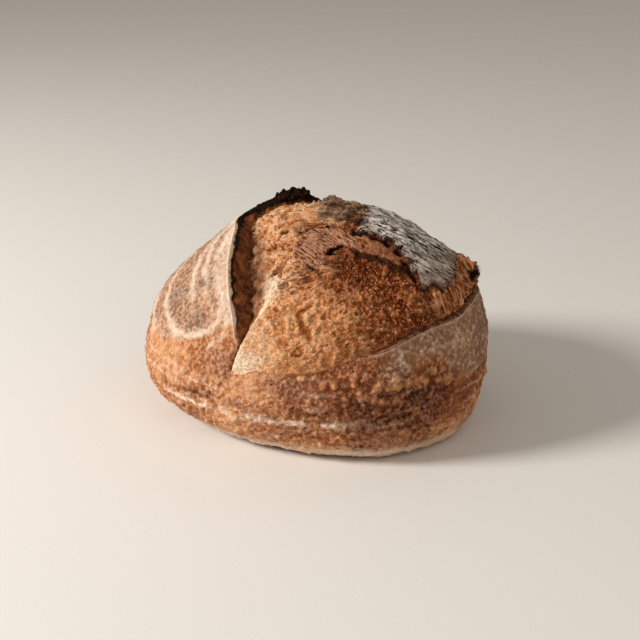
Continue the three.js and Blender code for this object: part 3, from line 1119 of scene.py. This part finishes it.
def surface(tree, base, height, rough, depth):
    """The shader each finish ends in: baked starch, dull with a warm glint, its bump this deep in mm."""
    bump = {"Height": height, "Distance": depth * MM, "Strength": 1.0}
    shader = {
        "Base Color": base,
        "Roughness": rough,
        "Normal": add(tree, "Bump", bump),
        "IOR": 1.45,
        "Specular IOR Level": 0.22,
        "Specular Tint": "#DDA878",
    }
    add(tree, "OutputMaterial", {"Surface": add(tree, "BsdfPrincipled", shader)})


def crust_finish():
    """Hearth-baked crust: matt browned skin, crackled and blistered, under rings of baked-on flour."""
    material, tree = finish_of("Baked crust with flour")
    broad = grain(tree, 24, 2)
    patchy = grain(tree, 7, 3)
    fine = grain(tree, 2.6, 3, 0.65)
    speck = grain(tree, 1.2, 2, 0.6)
    crumb = crumbs(tree, 3.4)
    relief_light_and_shade = add(tree, "Attribute", out="Fac", attribute_name="relief_light_and_shade")
    browned = (
        ("golden", "#C88D60", patchy, 1.0, 0.5),
        ("red", "#6E320D", patchy, 1.0, 0.5, 0.95),
        ("smooth", "#AA7A62", 0.9),
        ("flap", "#AC8165", 0.85),
        ("coat", "#C0A48E", fine, 1.2, 0.8, 0.85),
        ("ash", "#887C70", patchy, 0.8, 0.5, 0.65),
        ("melted", "#C08A60", 0.7),
    )
    base = coated(tree, two_tone(tree, "#AE714C", "#D5996A", broad, 0.38, 0.62), browned)
    lightness = add(tree, "MapRange", {0: fine, 1: 0.36, 2: 0.64, 3: 0.8, 4: 1.14}, **EASED)
    lightness = mottled(tree, lightness, crumb, 0, 1, 0.14)
    lightness = mottled(tree, lightness, speck, 0.35, 0.65, 0.22)
    # The relief's painted highlight and shade lighten and deepen the colour here.
    base = shaded(tree, base, summed(tree, lightness, ((relief_light_and_shade, 0.5),)))
    on_top = (
        ("blister", "#BC7C48", 0.35),
        ("flour", "#EDD8C2", fine, 1.0, 0.6, 0.82),
        ("lip", "#E6CDB0", 0.5),
        ("torn", two_tone(tree, "#3A2215", "#8A6248", fine, 0.36, 0.62), 1),
        ("baked", two_tone(tree, "#50240B", "#AA6430", patchy, 0.4, 0.68), patchy, 0.6, 0.6),
        ("char", "#100A07", fine, 0.8, 0.3),
        ("cut", "#8E7A6A", 1),
    )
    rough = add(tree, "MapRange", {0: fine, 1: 0.2, 2: 0.8, 3: 0.55, 4: 0.85}, **EASED)
    surface(tree, coated(tree, base, on_top), summed(tree, fine, ((speck, 0.5), (crumb, 0.5))), rough, 1.0)
    return material


def bloom_finish():
    """Torn crumb baked bare: rough, flaky, faintly glossy, pale in the lee, brown where it stood out."""
    material, tree = finish_of("Torn bloom")
    broad = grain(tree, 15, 3)
    patchy = grain(tree, 5, 3)
    fine = grain(tree, 1.8, 3, 0.65)
    speck = grain(tree, 0.9, 2, 0.6)
    crumb = crumbs(tree, 1.9)
    high, gold, dark, shreds, grains = (
        add(tree, "Attribute", out="Fac", attribute_name=name)
        for name in ("high", "gold", "dark", "shreds", "grains")
    )
    browned = (
        ("gold", "#DE9B66", patchy, 1.2, 0.4, 0.85),
        ("dark", "#86431A", broad, 0.8, 0.6, 0.92),
        ("streak", "#CC7F4C", patchy, 1.5, 0.4),
        ("rust", "#7E4324", patchy, 1.5, 0.4),
        ("film", "#985E40", patchy, 1.0, 0.4),
        ("ashen", "#503E31", grain(tree, 1.5, 3, 0.6, 5), 2.2, 0.5, 0.88),
        ("pale", "#F6D8B6", patchy, 0.45, 0.6),
    )
    base = coated(tree, two_tone(tree, "#D48A54", "#F1B988", patchy, 0.38, 0.64), browned)
    lightness = add(tree, "MapRange", {0: fine, 1: 0.36, 2: 0.64, 3: 0.84, 4: 1.1}, **EASED)
    lightness = mottled(tree, lightness, crumb, 0, 1, 0.14)
    # Painted highlight and shade: lighter where the relief stands high, darker where it sinks.
    lightness = mottled(tree, lightness, high, -0.6, 2.2, 0.95)
    flaky = marked(tree, "shreds", grain(tree, 1.4, 3, 0.6, 6, (0, 0, 6)), 0.5)
    stringy = marked(tree, "streak", grain(tree, 1.6, 2, 0.6, 7, (0, 49, -58)), 0.6)
    hatched = marked(tree, "film", grain(tree, 1.2, 2, 0.6, 7, (0, 12, -53)), 0.5)
    # The curls' crests and the granules' tops are painted lighter as well, as highlights.
    curly = add(tree, "Math", {0: gold, 1: 0.75, 2: 0.25}, operation="MULTIPLY_ADD")
    curly = add(tree, "Math", {0: winding_curls(tree, 3.6), 1: curly}, operation="MULTIPLY")
    swings = ((grains, 0.25), (flaky, 1.0), (curly, 0.4), (stringy, 2.4), (hatched, 1.7))
    base = shaded(tree, base, summed(tree, lightness, swings))
    # Painted shade: the hollows between the shreds are made redder and darker.
    hollow_shade = add(tree, "MapRange", {0: high, 1: 0.5, 2: -0.9, 4: 0.85}, **EASED)
    hollow_shade = add(tree, "Math", {0: shreds, 1: hollow_shade}, operation="MULTIPLY")
    base = add(tree, "Mix", {0: hollow_shade, 6: base, 7: "#522210"}, 2, data_type="RGBA")
    # Painted glints: small pale specks on the darkest brown, 1.5 mm apart, where highlights would sparkle
    # on the crumbs.
    painted_glints = summed(tree, crumbs(tree, 1.5), ((speck, 0.8),))
    painted_glints = add(tree, "MapRange", {0: painted_glints, 1: 1.12, 2: 1.3, 4: 0.6}, **EASED)
    painted_glints = add(tree, "Math", {0: dark, 1: painted_glints}, operation="MULTIPLY")
    base = add(tree, "Mix", {0: painted_glints, 6: base, 7: "#DDAA78"}, 2, data_type="RGBA")
    burnt = (
        # The furrow's dark brown: partly its own colour, partly painted shade under the ear.
        ("deep", "#5A260C", 0.8),
        ("smudge", "#2A130A", patchy, 1.6, 0.35, 0.9),
        ("char", "#0E0705", fine, 1.2, 0.3),
    )
    waves = ((speck, 0.5), (crumb, 0.4), (flaky, 0.8), (stringy, 0.8), (curly, 0.9))
    rough = add(tree, "MapRange", {0: fine, 1: 0.3, 2: 0.7, 3: 0.42, 4: 0.7}, **EASED)
    surface(tree, coated(tree, base, burnt), summed(tree, fine, waves), rough, 0.8)
    return material


def cap_finish():
    """Charred skin ashed with baked flour: grey, with short black strokes along its fibres."""
    material, tree = finish_of("Ashy charred crust")
    fine = grain(tree, 1.5, 4, 0.7)
    strokes = grain(tree, 1.3, 3, 0.6, 6, (0, 33, -12))
    high, border = (
        add(tree, "Attribute", out="Fac", attribute_name=name) for name in ("high", "border")
    )
    base = two_tone(tree, "#9E948C", "#DFD6CD", grain(tree, 9, 3), 0.36, 0.6)
    base = even_coat(tree, base, "low", "#8A6A54", 0.9)
    lightness = add(tree, "MapRange", {0: fine, 1: 0.34, 2: 0.66, 3: 0.7, 4: 1.2}, **EASED)
    base = shaded(tree, base, lightness)
    base = two_tone(tree, base, "#2E211A", summed(tree, strokes, ((high, 0.2),)), 0.49, 0.41)
    base = two_tone(tree, base, "#3A2016", summed(tree, border, ((fine, 0.16),)), 1.0, 1.07)
    surface(tree, base, summed(tree, strokes, ((fine, 0.5),)), 0.72, 0.6)
    return material


def char_finish():
    """Burnt black crust: carbon, dry and crumbly, with a faint glint."""
    material, tree = finish_of("Burnt black crust")
    fine = grain(tree, 1.2, 3, 0.6)
    high = add(tree, "Attribute", out="Fac", attribute_name="high")
    base = two_tone(tree, "#0C0705", "#4A2818", summed(tree, fine, ((high, 0.1),)), 0.5, 0.95)
    surface(tree, base, fine, 0.85, 0.5)
    return material


# ---- Stage ----

# Where the camera stands in metres, how far it looks down in degrees, and its lens in mm.
CAMERA_PLACE = (0.0032, -0.6731, 0.3159)
CAMERA_TILT = 21.32
CAMERA_LENS = 64.6
# The lights aim at this height in metres.
LIGHT_AIM = 0.06


def make_floor():
    bpy.ops.object.select_all(action="DESELECT")
    bpy.ops.mesh.primitive_plane_add(size=6, location=(0, 0, LOAF_LOW.z))
    floor = bpy.context.object
    floor.name = "floor"
    material, tree = finish_of("Pale studio floor")
    matt = add(tree, "BsdfPrincipled", {"Base Color": "#E4E1DC", "Roughness": 0.6})
    add(tree, "OutputMaterial", {"Surface": matt})
    floor.data.materials.append(material)


def make_light(name, size, power, place, tone):
    """A round area light, aimed at the loaf's middle."""
    bpy.ops.object.light_add(type="AREA", location=place)
    light = bpy.context.object
    light.name = name
    light.data.shape = "DISK"
    light.data.size = size
    light.data.energy = power
    light.data.color = colour(tone)[:3]
    x, y, z = place[0], place[1], place[2] - LIGHT_AIM
    light.rotation_euler = (math.acos(z / math.hypot(x, y, z)), 0, math.atan2(y, x) + math.pi / 2)


def make_camera():
    """A camera 0.74 m away that looks down on the front."""
    bpy.ops.object.camera_add(location=CAMERA_PLACE)
    camera = bpy.context.object
    camera.rotation_euler = (math.radians(90 - CAMERA_TILT), 0, 0)
    camera.data.lens = CAMERA_LENS
    camera.data.sensor_width = 36
    bpy.context.scene.camera = camera


def make_world():
    world = bpy.data.worlds.new("Soft room light")
    world.use_nodes = True
    sky = world.node_tree.nodes["Background"]
    sky.inputs["Color"].default_value = colour("#EBE3D9")
    sky.inputs["Strength"].default_value = 0.44
    bpy.context.scene.world = world
    bpy.context.scene.view_settings.view_transform = "Standard"


crust = make_crust()
crust.data.materials.append(crust_finish())
bloom = make_bloom()
bloom.data.materials.append(bloom_finish())
cap = make_cap()
cap.data.materials.append(cap_finish())
crest = make_crest()
burnt = char_finish()
crest.data.materials.append(burnt)
flakes = make_flakes()
flakes.data.materials.append(burnt)

make_floor()
make_world()
make_light("window", 0.5, 34, (-1.45, -0.4, 0.95), "#FFFBF6")
make_light("fill", 1.6, 5, (0.7, -1.4, 1.3), "#FFF5E8")
make_camera()
